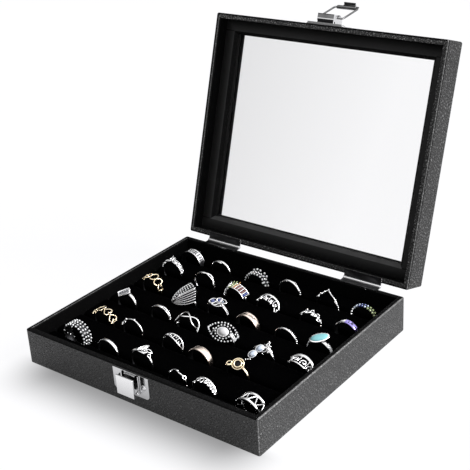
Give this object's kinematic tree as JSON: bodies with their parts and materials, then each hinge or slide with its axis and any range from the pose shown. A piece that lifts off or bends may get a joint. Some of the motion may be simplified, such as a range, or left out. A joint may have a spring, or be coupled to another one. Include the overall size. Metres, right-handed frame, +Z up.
{
  "type": "ring display box",
  "caption": "Flat leatherette ring display case with a velvet roll insert full of rings, and a hinged glazed lid that closes with a wire bail latch.",
  "frame": {"origin": "middle of the case's underside, on the surface that it stands on", "axes": "+X along the front to the right, +Y from front to back, +Z up; the lid stands open at rest"},
  "size_m": [0.2, 0.2787, 0.2062],
  "materials": {
    "fibreboard": "raw fibreboard, hidden under the covering",
    "leatherette": "black pebble-grain leatherette, semi-matt",
    "velvet": "short black velvet pile",
    "base_paper": "black textured paper",
    "card": "black card",
    "glass": "clear float glass",
    "black_steel": "black nickel plated steel, satin",
    "nickel": "bright nickel plate",
    "spring_steel": "bright spring steel",
    "silver": "polished silver plate",
    "gold": "polished gold plate",
    "rose_gold": "polished rose gold plate",
    "purple_steel": "polished steel with a blue violet colour",
    "clear_stone": "clear cut stones",
    "colour_stone": "coloured cut stones and enamel beads",
    "pearl": "white pearls and opaque white stones",
    "turquoise": "polished turquoise"
  },
  "bodies": {
    "case": {"case_wall_boards": "fibreboard", "case_floor_board": "fibreboard", "case_cover": "leatherette", "case_lining": "velvet", "base_sheet": "base_paper", "case_hinge_leaves": "nickel", "hinge_pins": "nickel", "case_hinge_screws": "black_steel", "catch_plate": "nickel", "catch_rivets": "nickel", "flap_pins": "nickel", "flap_spring": "spring_steel"},
    "insert": {"insert_tray": "card", "velvet_rolls": "velvet", "ring_pebble_band": "silver", "ring_plain_bands": "silver", "ring_rose_flower": "silver", "ring_twist": "silver", "ring_leaf_crown": "silver", "ring_trellis_band": "silver", "ring_gold_hearts": "gold", "ring_bead_band": "silver", "ring_channel_point": "silver", "ring_rose_gold_bands": "rose_gold", "ring_gold_drop": "gold", "ring_pave_plate": "silver", "ring_crossing_bands": "silver", "ring_oval_halo": "silver", "ring_twin_stones": "silver", "ring_scroll_crown": "silver", "ring_gold_chain": "gold", "ring_dome": "silver", "ring_blue_crown": "silver", "ring_half_eternity_pair": "silver", "ring_turquoise_oval": "silver", "ring_bow": "silver", "ring_wave": "silver", "ring_rainbow_stones": "silver", "ring_pearl_rail": "silver", "ring_leaf_spray": "silver", "ring_purple_band": "purple_steel", "ring_pave_band": "silver", "ring_open_band": "silver", "ring_bead_cluster": "silver", "ring_tiara": "silver", "ring_coloured_beads": "silver"},
    "lid": {"lid_wall_boards": "fibreboard", "lid_top_board": "fibreboard", "lid_cover": "leatherette", "lid_lining": "velvet", "lid_window_border": "velvet", "lid_glass": "glass", "lid_hinge_leaves": "nickel", "lid_hinge_screws": "black_steel", "hasp_plate": "nickel", "hasp_rivets": "nickel"},
    "flap": {"catch_flap": "nickel"},
    "bail": {"hasp_bail": "nickel"},
    "hook": {"hasp_hook": "nickel"}
  },
  "joints": [
    {"name": "lid_hinge", "type": "hinge", "parent": "case", "child": "lid", "pos_m": [0, 0.0907, 0.02775], "axis": [-1, 0, 0], "range_deg": [-107.6, 0]},
    {"name": "bail_pivot", "type": "hinge", "parent": "lid", "child": "bail", "pos_m": [-0.0015, 0.15679, 0.20055], "axis": [-1, 0, 0], "range_deg": [-161.76, 0]},
    {"name": "hook_pivot", "type": "hinge", "parent": "bail", "child": "hook", "pos_m": [-0.0015, 0.17863, 0.2032], "axis": [1, 0, 0], "range_deg": [0, 90]},
    {"name": "flap_pivot", "type": "hinge", "parent": "case", "child": "flap", "pos_m": [-0.0015, -0.0902, 0.0118], "axis": [1, 0, 0], "range_deg": [0, 80], "stiffness_Nm_per_rad": 0.004, "springref_deg": -20.05},
    {"name": "insert_lift", "type": "slide", "parent": "case", "child": "insert", "axis": [0, 0, 1], "range_m": [0, 0.04]}
  ]
}
